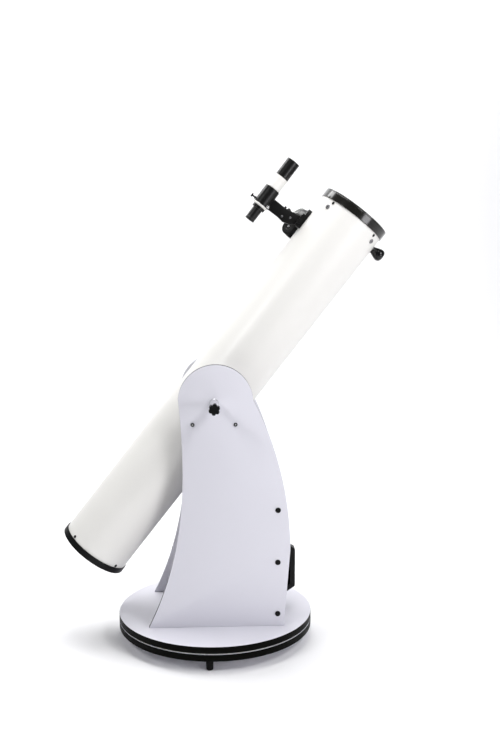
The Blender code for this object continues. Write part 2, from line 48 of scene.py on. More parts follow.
# ---- local frames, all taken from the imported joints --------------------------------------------
def frame_at(origin, x_axis, z_axis):
    x_axis, z_axis = Vector(x_axis).normalized(), Vector(z_axis).normalized()
    matrix = Matrix((x_axis, z_axis.cross(x_axis), z_axis)).transposed().to_4x4()
    matrix.translation = Vector(origin)
    return matrix


SKY = Vector(JOINTS["bracket_slide"]["axis"])           # along the tube, towards the sky
STAND = Matrix.Translation(JOINTS["azimuth"]["pos_m"])
TUBE = frame_at(JOINTS["altitude"]["pos_m"], SKY, JOINTS["align_top_turn"]["axis"])
FOCUS_S = 0.500                                         # focuser axis, along the tube
FOCUSER = frame_at(TUBE @ Vector((FOCUS_S, 0, 0)), SKY, JOINTS["drawtube_slide"]["axis"])
FINDER_H = (TUBE.inverted() @ Vector(JOINTS["finder_tilt"]["pos_m"])).z
FINDER = TUBE @ Matrix.Translation((0, 0, FINDER_H))

TO_X = Matrix.Rotation(math.pi / 2, 4, 'Y')             # turns a lathed shape's Z to +X
TO_REAR = Matrix.Rotation(-math.pi / 2, 4, 'Y')         # to -X
TO_FAR = Matrix.Rotation(-math.pi / 2, 4, 'X')          # to +Y
TO_NEAR = Matrix.Rotation(math.pi / 2, 4, 'X')          # to -Y


def moved(*place):
    """A shift by x, y and z."""
    return Matrix.Translation(place)


def span(node, place):
    """Lowest and highest corner of a CAD node, measured in a local frame."""
    inverse = place.inverted()
    points = [inverse @ vertex.co for vertex in frame["nodes"][node].data.vertices]
    low = Vector(min(point[i] for point in points) for i in range(3))
    high = Vector(max(point[i] for point in points) for i in range(3))
    return low, high


# ---- materials ---------------------------------------------------------------------------------
def mapped_noise(tree, scale, detail=3.0, stretch=(1, 1, 1)):
    """Noise in object space, optionally stretched along an axis."""
    nodes, links = tree.nodes, tree.links
    coordinates = nodes.new("ShaderNodeTexCoord")
    mapping = nodes.new("ShaderNodeMapping")
    mapping.inputs["Scale"].default_value = stretch
    noise = nodes.new("ShaderNodeTexNoise")
    noise.inputs["Scale"].default_value = scale
    noise.inputs["Detail"].default_value = detail
    links.new(coordinates.outputs["Object"], mapping.inputs["Vector"])
    links.new(mapping.outputs["Vector"], noise.inputs["Vector"])
    return noise.outputs["Fac"]


def finish(name, colour, roughness, metallic=0.0, mottle=(6.0, 0.03), rough_spread=0.06,
           grain=(900.0, 0.0002), stretch=(1, 1, 1), second=None, **sockets):
    """A Principled material whose colour, roughness and bump vary in object space.

    mottle is the scale and depth of the slow colour change, grain the scale and height of the
    fine relief, and second an optional (scale, height) of a broader relief under it.
    """
    material = bpy.data.materials.new(name)
    material.use_nodes = True
    tree = material.node_tree
    nodes, links = tree.nodes, tree.links
    shader = nodes["Principled BSDF"]
    shader.inputs["Metallic"].default_value = metallic
    for socket, value in sockets.items():
        shader.inputs[socket.replace("_", " ")].default_value = value

    mix = nodes.new("ShaderNodeMix")
    mix.data_type = 'RGBA'
    mix.inputs["A"].default_value = (*(channel * (1 - mottle[1]) for channel in colour), 1)
    lighter = (min(1.0, channel * (1 + mottle[1])) for channel in colour)
    mix.inputs["B"].default_value = (*lighter, 1)
    links.new(mapped_noise(tree, mottle[0], 4.0, stretch), mix.inputs["Factor"])
    links.new(mix.outputs["Result"], shader.inputs["Base Color"])

    spread = nodes.new("ShaderNodeMapRange")
    spread.inputs["To Min"].default_value = max(0.0, roughness - rough_spread)
    spread.inputs["To Max"].default_value = roughness + rough_spread
    links.new(mapped_noise(tree, mottle[0] * 5, 5.0, stretch), spread.inputs["Value"])
    links.new(spread.outputs["Result"], shader.inputs["Roughness"])

    bump = nodes.new("ShaderNodeBump")
    bump.inputs["Distance"].default_value = grain[1]
    bump.inputs["Strength"].default_value = 1.0
    links.new(mapped_noise(tree, grain[0], 2.0, stretch), bump.inputs["Height"])
    if second:
        under = nodes.new("ShaderNodeBump")
        under.inputs["Distance"].default_value = second[1]
        under.inputs["Strength"].default_value = 1.0
        links.new(mapped_noise(tree, second[0], 1.0), under.inputs["Height"])
        links.new(under.outputs["Normal"], bump.inputs["Normal"])
    links.new(bump.outputs["Normal"], shader.inputs["Normal"])
    return material


TUBE_WHITE = finish("tube_white", (0.82, 0.81, 0.78), 0.46, mottle=(3, 0.012),
                    rough_spread=0.04, grain=(420, 0.00004), second=(60, 0.00005),
                    Coat_Weight=0.22, Coat_Roughness=0.26)
INNER_BLACK = finish("inner_black", (0.012, 0.012, 0.013), 0.85, grain=(1400, 0.0003),
                     mottle=(30, 0.2))
BOARD_WHITE = finish("board_white", (0.70, 0.695, 0.755), 0.42, mottle=(4, 0.015),
                     grain=(1600, 0.00006), second=(260, 0.00004))
BAND_BLACK = finish("band_black", (0.0025, 0.0027, 0.002), 0.42, mottle=(20, 0.15),
                    grain=(700, 0.00008), Specular_IOR_Level=0.03)
BAND_GREY = finish("band_grey", (0.52, 0.52, 0.57), 0.45, mottle=(20, 0.05),
                   grain=(800, 0.00006))
# dark grey painted on the side boards' edges where they lie in shade: painted shade, not a banding
# colour
PAINTED_EDGE_SHADE = finish("painted_edge_shade", (0.055, 0.055, 0.065), 0.55, mottle=(25, 0.12),
                   grain=(900, 0.00005))
BLACK_PLASTIC = finish("black_plastic", (0.004, 0.004, 0.0042), 0.40, mottle=(25, 0.12),
                       grain=(1500, 0.00012), Specular_IOR_Level=0.16)
BLACK_GLOSS = finish("black_gloss", (0.004, 0.004, 0.0045), 0.13, mottle=(15, 0.12),
                     rough_spread=0.04, grain=(500, 0.00002), Specular_IOR_Level=0.40)
RING_GLOSS = finish("ring_gloss", (0.006, 0.0055, 0.004), 0.20, mottle=(15, 0.12),
                    rough_spread=0.04, grain=(500, 0.00002), Coat_Weight=0.4,
                    Coat_Roughness=0.06)
BLACK_PAINT = finish("black_paint", (0.004, 0.004, 0.0038), 0.30, mottle=(18, 0.12),
                     grain=(800, 0.00003), Specular_IOR_Level=0.34)
RUBBER = finish("rubber", (0.006, 0.006, 0.006), 0.70, mottle=(40, 0.2),
                grain=(1200, 0.0002), Specular_IOR_Level=0.12)
NYLON = finish("nylon", (0.74, 0.73, 0.67), 0.45, mottle=(30, 0.04), grain=(900, 0.00008),
               Subsurface_Weight=0.1)
STEEL = finish("steel", (0.50, 0.50, 0.51), 0.32, 1.0, mottle=(60, 0.08),
               grain=(1800, 0.00003), stretch=(1, 1, 6))
DARK_STEEL = finish("dark_steel", (0.26, 0.26, 0.27), 0.30, 1.0, mottle=(60, 0.10),
                    grain=(1500, 0.00002))
CHROME = finish("chrome", (0.78, 0.78, 0.79), 0.09, 1.0, mottle=(20, 0.02),
                rough_spread=0.03, grain=(700, 0.00001))
SATIN_STEEL = finish("satin_steel", (0.82, 0.83, 0.82), 0.30, 1.0, mottle=(80, 0.05),
                     grain=(1500, 0.00002))
PALE_METAL = finish("pale_metal", (0.84, 0.86, 0.84), 0.50, 0.35, mottle=(40, 0.04),
                    grain=(1500, 0.00002))
MIRROR_COAT = finish("mirror_coat", (0.90, 0.91, 0.92), 0.015, 1.0, mottle=(8, 0.01),
                     rough_spread=0.008, grain=(200, 0.000001))
MIRROR_GLASS = finish("mirror_glass", (0.55, 0.66, 0.62), 0.35, mottle=(20, 0.05),
                      grain=(900, 0.00005))
LENS_GLASS = finish("lens_glass", (0.16, 0.10, 0.22), 0.03, mottle=(30, 0.1),
                    rough_spread=0.01, grain=(100, 0.000001), Coat_Weight=1.0,
                    Coat_Roughness=0.02)


# ---- mesh helpers ------------------------------------------------------------------------------
def fillet(points, radius, steps=3, closed=False):
    """Round every corner of a flat outline with a short curve."""
    rounded = []
    count = len(points)
    for index, point in enumerate(points):
        point = Vector(point)
        if not closed and index in (0, count - 1):
            rounded.append(point)
            continue
        before = Vector(points[index - 1]) - point
        after = Vector(points[(index + 1) % count]) - point
        reach = min(radius, 0.45 * before.length, 0.45 * after.length)
        start, end = point + before.normalized() * reach, point + after.normalized() * reach
        if before.length > 5 * reach:
            rounded.append(point + before.normalized() * 2 * reach)
        for step in range(steps + 1):
            t = step / steps
            rounded.append((1 - t) ** 2 * start + 2 * t * (1 - t) * point + t * t * end)
        if after.length > 5 * reach:
            rounded.append(point + after.normalized() * 2 * reach)
    return rounded


def lathe(profile, sides=64, closed=False, round_by=0.0006):
    """Turn (radius, height) points round Z. A closed profile makes a ring."""
    bm = bmesh.new()
    outline = fillet(profile, round_by, 3, closed) if round_by else [Vector(p) for p in profile]
    rows = []
    for radius, height in outline:
        if radius < 1e-7:
            rows.append([bm.verts.new((0, 0, height))])
            continue
        rows.append([bm.verts.new((radius * math.cos(math.tau * k / sides),
                                   radius * math.sin(math.tau * k / sides), height))
                     for k in range(sides)])
    pairs = list(zip(rows, rows[1:]))
    if closed:
        pairs.append((rows[-1], rows[0]))
    for low, high in pairs:
        for k in range(sides):
            n = (k + 1) % sides
            corners = [low[k % len(low)], low[n % len(low)], high[n % len(high)],
                       high[k % len(high)]]
            face = list(dict.fromkeys(corners))
            if len(face) > 2:
                bm.faces.new(face)
    return bm


def slab(outline, depth, bevel=0.0006, segments=2):
    """Extrude a flat outline of 3-D points by depth, and round its two rims."""
    bm = bmesh.new()
    cap = bm.faces.new([bm.verts.new(point) for point in outline])
    grown = bmesh.ops.extrude_face_region(bm, geom=[cap], use_keep_orig=True)
    top = [item for item in grown["geom"] if isinstance(item, bmesh.types.BMVert)]
    bmesh.ops.translate(bm, verts=top, vec=depth)
    bmesh.ops.recalc_face_normals(bm, faces=bm.faces)
    if bevel:
        direction = Vector(depth).normalized()
        bm.normal_update()
        rims = [edge for edge in bm.edges
                if any(abs(face.normal.dot(direction)) > 0.99 for face in edge.link_faces)]
        bmesh.ops.bevel(bm, geom=rims, offset=bevel, segments=segments, profile=0.5,
                        affect='EDGES')
    return bm


def brick(low, high, bevel=0.001, segments=2):
    """A box between two corners with every edge rounded."""
    low, high = Vector(low), Vector(high)
    bm = bmesh.new()
    bmesh.ops.create_cube(bm, matrix=moved(*((low + high) / 2))
                          @ Matrix.Diagonal((*(high - low), 1)))
    if bevel:
        bmesh.ops.bevel(bm, geom=bm.edges, offset=bevel, segments=segments, profile=0.5,
                        affect='EDGES')
    return bm


def piece(name, bm, place, materials, body, replaces=(), paint=None, angle=35):
    """Place a bmesh in the world, give it its materials and let it ride on its body."""
    bmesh.ops.recalc_face_normals(bm, faces=bm.faces)
    if paint:
        for face in bm.faces:
            face.material_index = paint(face.calc_center_median(), face.normal)
    bm.transform(place)
    mesh = bpy.data.meshes.new(name)
    bm.to_mesh(mesh)
    bm.free()
    mesh.shade_smooth()
    mesh.set_sharp_from_angle(angle=math.radians(angle))
    for material in materials if isinstance(materials, (list, tuple)) else [materials]:
        mesh.materials.append(material)
    made = bpy.data.objects.new(name, mesh)
    bpy.context.collection.objects.link(made)
    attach(made, body)
    if replaces:
        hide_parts(*([replaces] if isinstance(replaces, str) else replaces))
    return made


def cut(target, *cutters):
    """Cut a piece by bmeshes that stand in the world frame, and keep the result as its mesh."""
    for number, (bm, place) in enumerate(cutters):
        bmesh.ops.recalc_face_normals(bm, faces=bm.faces)
        bm.transform(place)
        mesh = bpy.data.meshes.new("cutter")
        bm.to_mesh(mesh)
        bm.free()
        cutter = bpy.data.objects.new("cutter", mesh)
        bpy.context.collection.objects.link(cutter)
        step = target.modifiers.new(f"cut_{number}", 'BOOLEAN')
        step.solver = 'EXACT'
        step.object = cutter
        bpy.context.view_layer.update()
        evaluated = target.evaluated_get(bpy.context.evaluated_depsgraph_get())
        result = bpy.data.meshes.new_from_object(evaluated)
        target.modifiers.clear()
        old = target.data
        target.data = result
        bpy.data.meshes.remove(old)
        bpy.data.objects.remove(cutter)
    target.data.shade_smooth()
    target.data.set_sharp_from_angle(angle=math.radians(35))
    return target


def knurled(radius, depth, low, high, teeth, rim=0.0006):
    """A knurled wheel or grip along Z with small flutes round it."""
    outline = []
    for step in range(teeth * 4):
        angle = math.tau * step / (teeth * 4)
        wave = radius - depth * (0.5 - 0.5 * math.cos(teeth * angle))
        outline.append((wave * math.cos(angle), wave * math.sin(angle), low))
    return slab(outline, (0, 0, high - low), rim)


def screw_head(name, place, radius, height, materials, body, socket=0.0, shank=0.0,
               replaces=()):
    """A low domed screw head standing on Z = 0, with an optional hexagon socket and shank."""
    profile = [(radius, 0), (radius, height * 0.45), (radius * 0.80, height * 0.92),
               (radius * 0.45, height), (0, height)]
    profile = [(0, -shank), (radius * 0.36, -shank), (radius * 0.36, 0)] + profile if shank \
        else [(0, 0)] + profile
    made = piece(name, lathe(profile, 40, round_by=height * 0.2), place, materials, body,
                 replaces)
    if socket:
        hexagon = [(socket * math.cos(math.tau * k / 6), socket * math.sin(math.tau * k / 6),
                    height * 0.35) for k in range(6)]
        cut(made, (slab(hexagon, (0, 0, height * 2), 0), place))
    return made


# ---- turntable ---------------------------------------------------------------------------------
FOOT_ANGLES = (-94, 26, 146)
DISC_RADIUS = 0.2548


def edge_banded(_, normal):
    """White faces and a dark band round the rim of a disc."""
    return 0 if abs(normal.z) > 0.75 else 1


def make_turntable():
    for name, node, hole, body in (("ground_disc", "ground_board", 0.0056, "ground"),
                                   ("base_disc", "base_plate", 0.0105, "rocker")):
        low, high = span(node, STAND)
        profile = [(hole, low.z), (DISC_RADIUS, low.z), (DISC_RADIUS, high.z), (hole, high.z)]
        piece(name, lathe(profile, 160, True, 0.0011), STAND, [BOARD_WHITE, BAND_BLACK], body,
              node, edge_banded)
    low, _ = span("base_plate", STAND)
    sheet = [(0.1925, low.z - 0.0013), (0.2532, low.z - 0.0013), (0.2532, low.z - 0.0001),
             (0.1925, low.z - 0.0001)]
    piece("glide_sheet", lathe(sheet, 128, True, 0.0003), STAND, NYLON, "rocker")
    foot = [(0, 0), (0.0068, 0), (0.0086, 0.0022), (0.0095, 0.0292), (0.0095, 0.0297),
            (0, 0.0297)]
    for number, angle in enumerate(FOOT_ANGLES, 1):
        spot = Matrix.Rotation(math.radians(angle), 4, 'Z') @ moved(0.232, 0, 0)
        piece(f"foot_pad_{number}", lathe(foot, 64, round_by=0.0018), STAND @ spot, RUBBER,
              "ground", f"foot_{number}")
    for node, material in (("glide_ring", NYLON), ("centre_bush", NYLON),
                           ("centre_bolt", STEEL), ("centre_nut", STEEL)):
        keep(node, material)


def keep(node, material):
    """Show a CAD node as it is, with a finish from this scene."""
    mesh = frame["nodes"][node].data
    mesh.materials.clear()
    mesh.materials.append(material)


# ---- rocker box --------------------------------------------------------------------------------
SIDE_INNER, SIDE_OUTER = 0.117, 0.133
FRONT_FACE = 0.165                                      # front board, from the azimuth axis
AXIS = STAND.inverted() @ Vector(JOINTS["altitude"]["pos_m"])
POST_OFFSET = 0.053                                     # altitude posts, from that axis
CROWN = (0.002, 0.643, 0.093)                           # its X, its Z and its radius


def curve(start, handle_a, handle_b, end, steps):
    """Points along a cubic Bezier curve, without its end."""
    points = []
    for step in range(steps):
        t = step / steps
        u = 1 - t
        points.append(u ** 3 * Vector(start) + 3 * u * u * t * Vector(handle_a)
                      + 3 * u * t * t * Vector(handle_b) + t ** 3 * Vector(end))
    return points


def board_outline(low):
    """The side board's outline in X and Z: rear edge, round crown, front edge."""
    x, z, radius = CROWN
    turns = [math.radians(174 - 170 * k / 56) for k in range(57)]
    crown = [(x + radius * math.cos(turn), z + radius * math.sin(turn)) for turn in turns]
    points = curve((-0.1690, low), (-0.0687, 0.266), (-0.0730, 0.473), crown[0], 40)
    points += [Vector(point) for point in crown[:-1]]
    points += curve(crown[-1], (0.150, 0.545), (0.189, 0.400), (0.1885, 0.265), 36)
    return points + [Vector((0.1885, 0.265)), Vector((0.173, low))]


def shaded_edge_near(_, normal):
    """Painted shade on the near board: its rear edge and its crown take the dark edge colour, its
    front edge stays white.
    """
    return 1 if abs(normal.y) < 0.5 and (normal.x < -0.12 or normal.z > 0.15) else 0


def shaded_edge_far(_, normal):
    """Painted shade on the far board: only its rear edge below the crown takes the dark edge
    colour.
    """
    return 1 if abs(normal.y) < 0.5 and normal.x < -0.12 and normal.z < 0.30 else 0


def make_boards():
    low = span("side_board_near", STAND)[0].z
    for side_name, side in (("near", -1), ("far", 1)):
        outline = [(x, side * SIDE_INNER, z) for x, z in board_outline(low)]
        bm = slab(outline, (0, side * (SIDE_OUTER - SIDE_INNER), 0), 0.0007, 2)
        # the board's second material is painted shade on some of its edges
        board = piece(f"{side_name}_board", bm, STAND, [BOARD_WHITE, PAINTED_EDGE_SHADE], "rocker",
                      f"side_board_{side_name}",
                      shaded_edge_near if side < 0 else shaded_edge_far)
        turn = TO_FAR if side > 0 else TO_NEAR
        hole = lathe([(0, 0.10), (0.0070, 0.10), (0.0070, 0.15), (0, 0.15)], 48, round_by=0)
        cut(board, (hole, STAND @ moved(AXIS.x, 0, AXIS.z) @ turn))
        for number in (1, 2, 3):
            node = f"board_screw_{side_name}_{number}"
            low_corner, high_corner = span(node, STAND)
            middle = (low_corner + high_corner) / 2
            place = STAND @ moved(middle.x, side * (SIDE_OUTER + 0.0003), middle.z) @ turn
            screw_head(f"cap_{side_name}_{number}", place, 0.0070, 0.0020,
                       [BLACK_PLASTIC], "rocker", 0.0021, 0.046, node)
            screw_head(f"socket_{side_name}_{number}", place @ moved(0, 0, 0.0006), 0.0021,
                       0.0005, [BLACK_PLASTIC], "rocker")
        for spot, sign in (("rear", -1), ("front", 1)):
            post = [(0, -0.0220), (0.0105, -0.0220), (0.0120, -0.0205), (0.0120, -0.0003),
                    (0.0026, -0.0003), (0.0026, 0.0163), (0.0046, 0.0163), (0.0048, 0.0180),
                    (0.0040, 0.0187), (0.0028, 0.0187), (0.0026, 0.0178), (0, 0.0180)]
            place = STAND @ moved(AXIS.x + sign * POST_OFFSET, side * SIDE_INNER,
                                  AXIS.z - POST_OFFSET)
            piece(f"post_{side_name}_{spot}", lathe(post, 48, round_by=0.0003), place @ turn,
                  [NYLON, BLACK_PLASTIC, SATIN_STEEL], "rocker",
                  f"altitude_post_{side_name}_{spot}",
                  lambda middle, _: (0 if middle.z < 0.0161 else
                                     2 if math.hypot(middle.x, middle.y) < 0.0020 else 1))

    low, high = span("front_board", STAND)
    piece("front_panel", brick(low, high, 0.0009, 2), STAND, [BOARD_WHITE, BAND_GREY], "rocker",
          "front_board", lambda _, normal: 0 if abs(normal.x) > 0.8 else 1)
    low, high = span("door_stop", STAND)
    reach = high.x - low.x
    stop = [(0, 0), (0.0180, 0), (0.0165, 0.0050), (0.0130, 0.0110), (0.0130, reach - 0.004),
            (0.0100, reach), (0, reach)]
    piece("buffer", lathe(stop, 64, round_by=0.0015), STAND @ moved(high.x, 0, 0.300) @ TO_REAR,
          RUBBER, "rocker", "door_stop")


def make_handle():
    face = FRONT_FACE + 0.0003
    outline = [(0, 0.088), (0.004, 0.088), (0.0075, 0.100), (0.0445, 0.1245), (0.0470, 0.128),
               (0.0470, 0.227), (0.0445, 0.2305), (0.007, 0.252), (0.004, 0.264), (0, 0.264),
               (0, 0.236), (0.0290, 0.2225), (0.0310, 0.219), (0.0310, 0.136),
               (0.0290, 0.1325), (0, 0.116)]
    points = [(face + x, -0.016, z) for x, z in outline]
    piece("handle", slab(points, (0, 0.032, 0), 0.0030, 4), STAND, BLACK_PLASTIC, "rocker",
          "carry_handle")
    for number in range(13):
        z = 0.138 + number * 0.0066
        rib = brick((face + 0.0462, -0.0118, z - 0.0012), (face + 0.0475, 0.0118, z + 0.0012),
                    0.0005)
        piece(f"grip_rib_{number + 1}", rib, STAND, BLACK_PLASTIC, "rocker")
    for number, (y, z) in enumerate(((-0.008, 0.0935), (0.008, 0.0935), (-0.008, 0.2585),
                                     (0.008, 0.2585)), 1):
        screw_head(f"handle_screw_{number}", STAND @ moved(face + 0.0040, y, z) @ TO_X, 0.0036,
                   0.0018, [STEEL], "rocker", 0.0013)


# ---- tube --------------------------------------------------------------------------------------
TUBE_REAR, TUBE_FRONT = -0.5165, 0.5950
WALL_INNER, WALL_OUTER = 0.0900, 0.0910                 # radii of the steel tube
SKIN = 0.0915                                           # what its fittings are cut to
SEAT = 0.0911                                           # where the heads of its screws stand
ALONG = TUBE @ TO_X


def round_tube(angle, s, radius):
    """A place on the tube's wall, with Z pointing out. The angle runs from the top to +Y."""
    return TUBE @ moved(s, 0, 0) @ Matrix.Rotation(-math.radians(angle), 4, 'X') \
        @ moved(0, 0, radius)


def saddle(low=-0.3, high=0.7):
    """A cutter that shapes a fitting to the tube."""
    return lathe([(0, low), (SKIN, low), (SKIN, high), (0, high)], 192, round_by=0), ALONG


def make_tube():
    wall = [(WALL_INNER, TUBE_REAR), (WALL_OUTER, TUBE_REAR), (WALL_OUTER, TUBE_FRONT),
            (WALL_INNER, TUBE_FRONT)]
    tube = piece("tube_skin", lathe(wall, 192, True, 0.0002), ALONG, [TUBE_WHITE, INNER_BLACK],
                 "tube", "main_tube",
                 lambda middle, _: 0 if math.hypot(middle.x, middle.y) > 0.0905 else 1)
    cut(tube, (lathe([(0, 0.05), (0.0298, 0.05), (0.0298, 0.12), (0, 0.12)], 96, round_by=0),
               FOCUSER))

    rear = [(0.0914, -0.5036), (0.0934, -0.5036), (0.0938, -0.5045), (0.0938, -0.5190),
            (0.0926, -0.5205), (0.0800, -0.5205), (0.0800, -0.5168), (0.0914, -0.5168)]
    piece("rear_rim", lathe(rear, 192, True, 0.0007), ALONG, BLACK_PLASTIC, "tube",
          "rear_ring")
    front = [(0.0914, 0.5747), (0.0929, 0.5747), (0.0936, 0.5757), (0.0936, 0.5938),
             (0.0931, 0.5944), (0.0936, 0.5950), (0.0935, 0.5974), (0.0919, 0.5983),
             (0.0876, 0.5984), (0.0865, 0.5974), (0.0865, 0.5953), (0.0914, 0.5953)]
    piece("front_rim", lathe(front, 192, True, 0.0004), ALONG, RING_GLOSS, "tube",
          "front_ring")

    for number in range(4):
        angle = 45 + 90 * number
        lean = 4.5 if number % 2 else -4.5
        screw_head(f"vane_screw_{number + 1}", round_tube(angle + lean, 0.5545, SEAT),
                   0.0062, 0.0025, [DARK_STEEL], "tube", 0.0022)
        screw_head(f"front_ring_screw_{number + 1}", round_tube(angle, 0.5688, SEAT), 0.0038,
                   0.0018, [BLACK_PAINT], "tube")
        screw_head(f"rear_ring_screw_{number + 1}", round_tube(angle, -0.4985, SEAT), 0.0038,
                   0.0018, [BLACK_PLASTIC], "tube")

    grip = [(0, SKIN), (0.0092, SKIN), (0.0092, 0.0945), (0.0105, 0.0978),
            (0.0122, 0.1020), (0.0138, 0.1060), (0.0150, 0.1095), (0.0158, 0.1128),
            (0.0160, 0.1155), (0.0155, 0.1186), (0.0144, 0.1213), (0.0123, 0.1236),
            (0.0095, 0.1252), (0.0050, 0.1262), (0, 0.1264)]
    piece("guide_grip", lathe(grip, 80, round_by=0.0010), round_tube(180, 0.547, 0),
          BLACK_GLOSS, "tube", "guide_knob")


def make_altitude():
    outer = SIDE_INNER - 0.0012
    for side_name, side in (("near", -1), ("far", 1)):
        turn = TO_FAR if side > 0 else TO_NEAR
        hub = piece(f"hub_{side_name}", lathe([(0, 0.064), (0.0625, 0.064),
                                               (0.0625, outer - 0.0012), (0.0613, outer),
                                               (0, outer)], 128), TUBE @ turn, BLACK_PLASTIC,
                    "tube", f"altitude_hub_{side_name}")
        hole = lathe([(0, 0.10), (0.0056, 0.10), (0.0056, 0.13), (0, 0.13)], 40, round_by=0)
        cut(hub, saddle(), (hole, TUBE @ turn))

        body = f"tension_{side_name}"
        place = TUBE @ turn @ moved(0, 0, SIDE_OUTER)
        sleeve = [(0, -0.032), (0.0050, -0.032), (0.0050, 0.0012), (0.0118, 0.0012),
                  (0.0118, 0.0042), (0.0108, 0.0052), (0.0108, 0.0770), (0.0098, 0.0797),
                  (0, 0.0797)]
        piece(f"sleeve_{side_name}", lathe(sleeve, 96, round_by=0.0005), place, CHROME, body,
              f"tension_sleeve_{side_name}")
        star = []
        for step in range(144):
            angle = math.tau * step / 144
            radius = 0.0138 - 0.0030 * abs(math.sin(3 * angle)) ** 5
            star.append((radius * math.sin(angle), radius * math.cos(angle), 0.0800))
        knob = piece(f"star_knob_{side_name}", slab(star, (0, 0, 0.018), 0.0016, 4), place,
                     BLACK_PLASTIC, body, f"tension_knob_{side_name}")
        dish = lathe([(0, 0.0974), (0.0075, 0.0974), (0.0083, 0.0982), (0.0083, 0.11),
                      (0, 0.11)], 64, round_by=0)
        cut(knob, (dish, place))


def make_mirrors():
    for name, node, inner, radius, low, high in (
            ("cell_plate", "mirror_cell", 0.030, 0.0888, -0.5162, -0.5112),
            ("support_plate", "mirror_support", 0.026, 0.0790, -0.4962, -0.4902)):
        ring = lathe([(inner, low), (radius, low), (radius, high), (inner, high)], 128, True,
                     0.0008)
        piece(name, ring, ALONG, BLACK_PAINT, "tube", node)
    face = -0.4680
    disc = [(0, -0.4898), (0.0765, -0.4898), (0.0765, face - 0.0008), (0.0757, face)]
    disc += [(0.0757 * k / 24, face - (0.0757 ** 2 - (0.0757 * k / 24) ** 2) / 4.8)
             for k in range(23, -1, -1)]
    piece("mirror_disc", lathe(disc, 160, round_by=0), ALONG, [MIRROR_COAT, MIRROR_GLASS],
          "tube", "primary_mirror",
          lambda middle, normal: 0 if normal.z > 0.9 else 1)
    dot = [(0.0028, face - 0.00117), (0.0045, face - 0.00117), (0.0045, face - 0.00105),
           (0.0028, face - 0.00105)]
    piece("centre_mark", lathe(dot, 48, True, 0), ALONG, BLACK_PLASTIC, "tube")
    for number in range(3):
        angle = 90 + 120 * number
        clip = brick((-0.4890, -0.0060, 0.0768), (-0.4655, 0.0060, 0.0786), 0.0004)
        bmesh.ops.create_cube(clip, matrix=moved(-0.4661, 0, 0.0748)
                              @ Matrix.Diagonal((0.0014, 0.0116, 0.0060, 1)))
        piece(f"mirror_clip_{number + 1}", clip,
              TUBE @ Matrix.Rotation(math.radians(angle), 4, 'X'), BLACK_PAINT, "tube")


def sliced(radius, low, high, cuts):
    """A rod along the tube's axis with the part beyond each plane (point, normal) taken off."""
    bm = lathe([(0, low), (radius, low), (radius, high), (0, high)], 80, round_by=0)
    bm.transform(TO_X)
    for point, normal in cuts:
        bmesh.ops.bisect_plane(bm, geom=bm.verts[:] + bm.edges[:] + bm.faces[:],
                               plane_co=point, plane_no=normal, clear_outer=True)
        bmesh.ops.holes_fill(bm, edges=bm.edges)
    return bm


def spring(radius, wire, length, turns):
    """A compression spring along Z."""
    bm = bmesh.new()
    rows = []
    steps, sides = turns * 28, 8
    for step in range(steps + 1):
        angle = math.tau * turns * step / steps
        outward = Vector((math.cos(angle), math.sin(angle), 0))
        centre = radius * outward + Vector((0, 0, wire + (length - 2 * wire) * step / steps))
        rows.append([bm.verts.new(centre + wire * (math.cos(math.tau * k / sides) * outward
                                                   + math.sin(math.tau * k / sides)
                                                   * Vector((0, 0, 1)))) for k in range(sides)])
    for row, after in zip(rows, rows[1:]):
        for k in range(sides):
            n = (k + 1) % sides
            bm.faces.new((row[k], row[n], after[n], after[k]))
    bm.faces.new(rows[0])
    bm.faces.new(rows[-1])
    return bm


COLLIMATION_RADIUS = 0.056                              # knobs, from the tube's axis


def make_collimation():
    knob = [(0, -0.0150), (0.0085, -0.0150), (0.0105, -0.0130), (0.0105, -0.0030),
            (0.0070, 0), (0.0030, 0), (0.0030, 0.0240), (0, 0.0240)]
    for number in range(3):
        turn = math.radians(30 + 120 * number)
        place = TUBE @ moved(TUBE_REAR, COLLIMATION_RADIUS * math.cos(turn),
                             COLLIMATION_RADIUS * math.sin(turn)) @ TO_X
        piece(f"collimation_grip_{number + 1}", lathe(knob, 64, round_by=0.0008), place, STEEL,
              f"collimation_{number + 1}", f"collimation_knob_{number + 1}")
        knurl = knurled(0.0106, 0.0006, -0.0122, -0.0042, 36)
        piece(f"collimation_knurl_{number + 1}", knurl, place, STEEL,
              f"collimation_{number + 1}")
        for plate in ("cell_plate", "support_plate"):
            hole = lathe([(0, -0.01), (0.0038, -0.01), (0.0038, 0.04), (0, 0.04)], 32,
                         round_by=0)
            cut(bpy.data.objects[plate], (hole, place))
        piece(f"cell_spring_{number + 1}", spring(0.0052, 0.0006, 0.0146, 5),
              place @ moved(0, 0, 0.0055), STEEL, "tube")
        turn += math.radians(60)
        spot = TUBE @ moved(TUBE_REAR + 0.0003, COLLIMATION_RADIUS * math.cos(turn),
                            COLLIMATION_RADIUS * math.sin(turn))
        screw_head(f"lock_screw_{number + 1}", spot @ TO_REAR, 0.0042, 0.0032, [STEEL], "tube",
                   0.0018)


